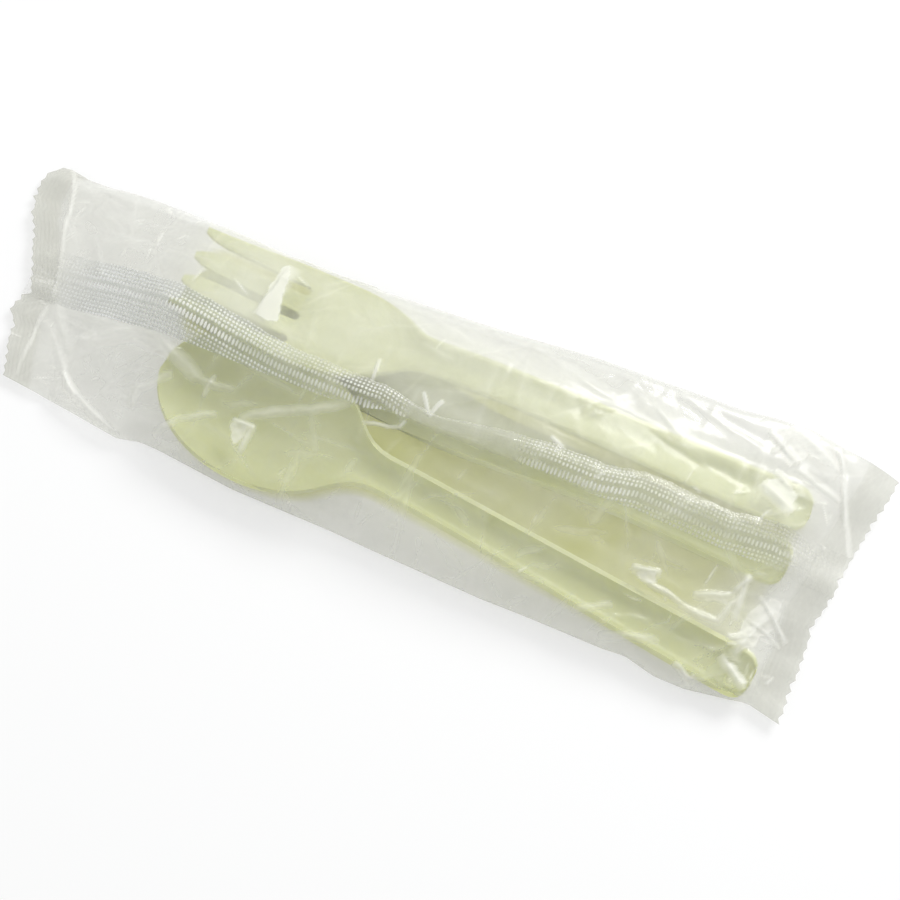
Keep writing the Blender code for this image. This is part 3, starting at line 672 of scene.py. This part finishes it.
def clear_film(name, look, knurl_pitch=None):
    """Cast polypropylene film: clear, glossy and slightly hazy, whiter where it was crimped. Its
    creases, glint patches and the stretch over the fork are painted white for the glints and sheen
    they would show, and the lower film is painted yellow-green for light bounced from the cutlery. A
    knurl turns it white in a grid of dots, partly haze and partly painted glints, over UV coordinates
    in metres."""
    material, tree = empty_material(name)
    place = node(tree, "ShaderNodeTexCoord").outputs["Object"]
    sealed = node(tree, "ShaderNodeAttribute", attribute_name="sealed").outputs["Fac"]
    haze_and_painted_glint = node(tree, "ShaderNodeAttribute", attribute_name="haze_and_painted_glint").outputs["Fac"]
    painted_bounce = node(tree, "ShaderNodeAttribute", attribute_name="painted_bounce").outputs["Fac"]
    if knurl_pitch:
        knurl = node(tree, "ShaderNodeUVMap")
        dots = node(
            tree,
            "ShaderNodeTexVoronoi",
            {"Vector": knurl.outputs[0], "Scale": 1 / knurl_pitch, "Randomness": 0.12},
            voronoi_dimensions="2D",
        )
        pressed = node(
            tree,
            "ShaderNodeMapRange",
            {
                "Value": dots.outputs["Distance"],
                "From Min": 0.20,
                "From Max": 0.46,
                "To Min": 1.0,
                "To Max": 0.0,
            },
            interpolation_type="SMOOTHSTEP",
        )
        haze_and_painted_glint = node(
            tree,
            "ShaderNodeMath",
            {0: pressed.outputs[0], 1: haze_and_painted_glint},
            operation="MULTIPLY",
        ).outputs[0]
        height = haze_and_painted_glint
    else:
        # Fine crinkles of about 1.5 mm, too slight to be modelled.
        height = node(
            tree,
            "ShaderNodeTexNoise",
            {"Vector": place, "Scale": 650.0, "Detail": 2.0},
        ).outputs["Fac"]
    relief = node(
        tree,
        "ShaderNodeBump",
        {"Height": height, "Strength": look["relief_strength"], "Distance": look["relief"]},
    ).outputs[0]
    # Light that goes through takes the film's colour, and on the lower film the plastic's
    # yellow-green, painted there as bounce light from the cutlery.
    tint = node(
        tree,
        "ShaderNodeMix",
        {"Factor": sealed, COLOUR_A: to_linear(look["clear"]), COLOUR_B: to_linear(look["sealed"])},
        data_type="RGBA",
    )
    tint_and_painted_bounce = node(
        tree,
        "ShaderNodeMix",
        {"Factor": painted_bounce, COLOUR_A: tint.outputs[COLOUR_OUT], COLOUR_B: to_linear("#DFE096")},
        data_type="RGBA",
    )
    through_film = node(
        tree,
        "ShaderNodeBsdfTransparent",
        {"Color": tint_and_painted_bounce.outputs[COLOUR_OUT]},
    )
    # The gloss is partly crisp and mostly broad, because the film is crinkled so finely.
    crisp, broad = (
        node(
            tree,
            "ShaderNodeBsdfGlossy",
            {"Color": WHITE, "Roughness": roughness, "Normal": relief},
        )
        for roughness in (0.10, 0.38)
    )
    shine = node(
        tree,
        "ShaderNodeMixShader",
        {0: 0.7, 1: crisp.outputs[0], 2: broad.outputs[0]},
    )
    # The film's two faces reflect little face on and nearly all of the light edge on. Face on it
    # is less than a real film's 8 %, to match how clear the pack looks in the photograph.
    facing = node(tree, "ShaderNodeLayerWeight", {"Blend": 0.5, "Normal": relief})
    slant = node(
        tree,
        "ShaderNodeMath",
        {0: facing.outputs["Facing"], 1: 3.5},
        operation="POWER",
    )
    both_faces = node(
        tree,
        "ShaderNodeMath",
        {0: slant.outputs[0], 1: 0.85, 2: look["face_on"]},
        operation="MULTIPLY_ADD",
        use_clamp=True,
    )
    clear_part = node(
        tree,
        "ShaderNodeMixShader",
        {0: both_faces.outputs[0], 1: through_film.outputs[0], 2: shine.outputs[0]},
    )
    # The haze scatters light back and lets some of it through. Where bounce light is painted, the
    # haze is painted yellow-green as well.
    white = node(
        tree,
        "ShaderNodeMix",
        {"Factor": painted_bounce, COLOUR_A: to_linear(look["haze"]), COLOUR_B: to_linear("#D9DC90")},
        data_type="RGBA",
    ).outputs[COLOUR_OUT]
    haze = node(tree, "ShaderNodeBsdfDiffuse", {"Color": white})
    back = node(tree, "ShaderNodeBsdfTranslucent", {"Color": white})
    milk = node(
        tree,
        "ShaderNodeMixShader",
        {0: look["lets_through"], 1: haze.outputs[0], 2: back.outputs[0]},
    )
    # How much haze there is: clouds of about 15 mm, more in the seals, and most in the creases and
    # where glints, sheen and knurl dots are painted white.
    clouds = node(
        tree,
        "ShaderNodeTexNoise",
        {"Vector": place, "Scale": 70.0, "Detail": 4.0, "Roughness": 0.6, "Distortion": 0.8},
    )
    cloudy = node(
        tree,
        "ShaderNodeMapRange",
        {
            "Value": clouds.outputs["Fac"],
            "From Min": 0.35,
            "From Max": 0.68,
            "To Min": look["least_haze"],
            "To Max": look["most_haze"],
        },
    )
    crimped = node(
        tree,
        "ShaderNodeMath",
        {0: sealed, 1: 0.12, 2: cloudy.outputs[0]},
        operation="MULTIPLY_ADD",
    )
    share = node(
        tree,
        "ShaderNodeMath",
        {0: haze_and_painted_glint, 1: look["crease_and_glint_white"], 2: crimped.outputs[0]},
        operation="MULTIPLY_ADD",
        use_clamp=True,
    )
    whole = node(
        tree,
        "ShaderNodeMixShader",
        {0: share.outputs[0], 1: clear_part.outputs[0], 2: milk.outputs[0]},
    )
    node(tree, "ShaderNodeOutputMaterial", {"Surface": whole.outputs[0]})
    return material


polypropylene = clear_film("clear_polypropylene_film", SLEEVE_LOOK)
for sheet in film_sheets:
    sheet.data.materials.append(polypropylene)
    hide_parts("film_wrapper")
    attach(sheet, "root")


# Fin seal: the web's two edges welded face to face between knurled wheels, then laid over towards
# the fork. The knurl is a grid of pressed dots a millimetre apart. Near the middle the seal is
# pinched narrow and hardly knurled.
FIN_ALONG, FIN_ACROSS = 860, 44
FIN_WIDTH = 10.5
FIN_CLEAR, FIN_RISE, FIN_BULGE = 0.12, 0.3, 3.0
FIN_ENDS = (-107.5, 109)
KNURL = 1.0 * MM
# The fin's course, from the photograph: Y of its root and of its free edge over X.
FIN_ROOT = (
    (-110, -8), (-90, -7.2), (-68, -6.6), (-44, -6.4), (-24, -6.0), (-14, -5.3), (-8.6, -3.6),
    (4, -2.6), (20, -2.1), (33, -2.6), (48, -2.5), (60, -1.8), (76, -2.4), (90, -1.5),
    (112, -1.8),
)
FIN_FREE = (
    (-110, 5.5), (-83, 6.6), (-70.7, 6.3), (-60.5, 5.6), (-37.6, 2.7), (-19.3, 2.2), (-10, 2.4),
    (-2, 0.8), (3.4, -0.3), (10, 1.2), (22.9, 3.5), (32.7, 4.9), (46.4, 5.3), (56.5, 7.8),
    (70.4, 7.5), (79.1, 7.4), (90, 9.4), (112, 9.6),
)
fin_x = np.linspace(*FIN_ENDS, FIN_ALONG + 1)
fin_t = np.linspace(0, 1, FIN_ACROSS + 1)
FX, FT = np.meshgrid(fin_x, fin_t, indexing="ij")
root_y, free_y = through(FIN_ROOT, FX), through(FIN_FREE, FX)
shown = free_y - root_y
FY = root_y + shown * FT
FY += FT**3 * (
    0.10 * np.sin(FX * 0.63) + 0.07 * np.sin(FX * 1.7 + 1) + 0.10 * np.sin(FX * 0.29 + 2)
)
# It lies on the upper film and bridges the film's dips. Where less than its width shows, the rest
# of it bulges up.
upper_tree = tree_of(upper_film)
FZ = np.zeros_like(FX)
for a in range(FIN_ALONG + 1):
    for b in range(FIN_ACROSS + 1):
        hit = upper_tree.ray_cast(Vector((FX[a, b], FY[a, b], ABOVE_PACK)) * MM, down)[0]
        FZ[a, b] = hit.z / MM if hit is not None else 1.0
under = FZ.copy()
for _ in range(110):
    around = FZ[2:, 1:-1] + FZ[:-2, 1:-1] + FZ[1:-1, 2:] + FZ[1:-1, :-2]
    FZ[1:-1, 1:-1] = np.maximum(under[1:-1, 1:-1], around / 4)
loose = np.sqrt(np.clip(1 - (shown / FIN_WIDTH) ** 2, 0, 1))
FZ += FIN_CLEAR + FIN_RISE * FT + FIN_BULGE * loose * np.sin(math.pi * FT) ** 0.8
FZ += 0.12 * FT * np.sin(FX * 0.45) + 0.05 * FT * np.sin(FX * 1.3 + 2)
# How deep the knurl is pressed along the fin: hardly at all where the wheels missed it. The dots are
# painted white for their haze and also for the glints off their faces, so this also sets how bright
# those painted glints are.
KNURL_DEPTH = (
    (-110, 0.12), (-99, 0.30), (-93, 0.60), (-88, 1.0), (-80, 1.1), (-62, 1.1), (-50, 1.0),
    (-42, 0.8), (-32, 0.6), (-22, 0.7), (-12, 1.0), (-5, 0.9), (-2, 0.2), (4, 0.04), (24, 0.08),
    (30, 0.6), (38, 0.85), (52, 0.85), (58, 0.5), (64, 0.55), (72, 0.3), (82, 0.5), (92, 0.45),
    (99, 0.2), (110, 0.05),
)
patchy = 0.72 + 0.28 * np.sin(FT * 9 + 0.05 * FX) * np.sin(0.21 * FX + FT * 3)
knurl_haze_and_painted_glint = through(KNURL_DEPTH, FX) * patchy * (1 - 0.5 * ramp(FT, 0.82, 1.0))
# The weld is hazy on the left and almost clear from the pinch on. On the left it is also painted
# darker, a painted shade for the shadow under the fin there.
weld_haze_and_painted_shade = (0.9 - 0.88 * ramp(FX, -48, -12)) * ramp(FX, -106, -84)
fin_seal, i, j = laid_sheet("fin_seal", FX, FY, FZ, {"sealed": weld_haze_and_painted_shade, "haze_and_painted_glint": knurl_haze_and_painted_glint})
# The knurl follows the free edge, so its UV map is the real distance along and from that edge.
# The wheels' teeth are longer in the middle rows, so the map is squeezed there.
from_free = (1 - FT) * shown
knurl_u, knurl_v = FX, from_free - 2.2 * ramp(from_free, 3.5, 8.5)
mesh = fin_seal.data
corners = np.empty(len(mesh.loops), dtype=np.int32)
mesh.loops.foreach_get("vertex_index", corners)
flat_uv = np.stack([knurl_u[i, j][corners], knurl_v[i, j][corners]], axis=1) * MM
mesh.uv_layers.active.data.foreach_set("uv", flat_uv.ravel())
bpy.ops.object.shade_smooth()
knurled_film = clear_film("knurled_polypropylene_film", FIN_LOOK, knurl_pitch=KNURL)
fin_seal.data.materials.append(knurled_film)
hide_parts("film_wrapper")
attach(fin_seal, "root")
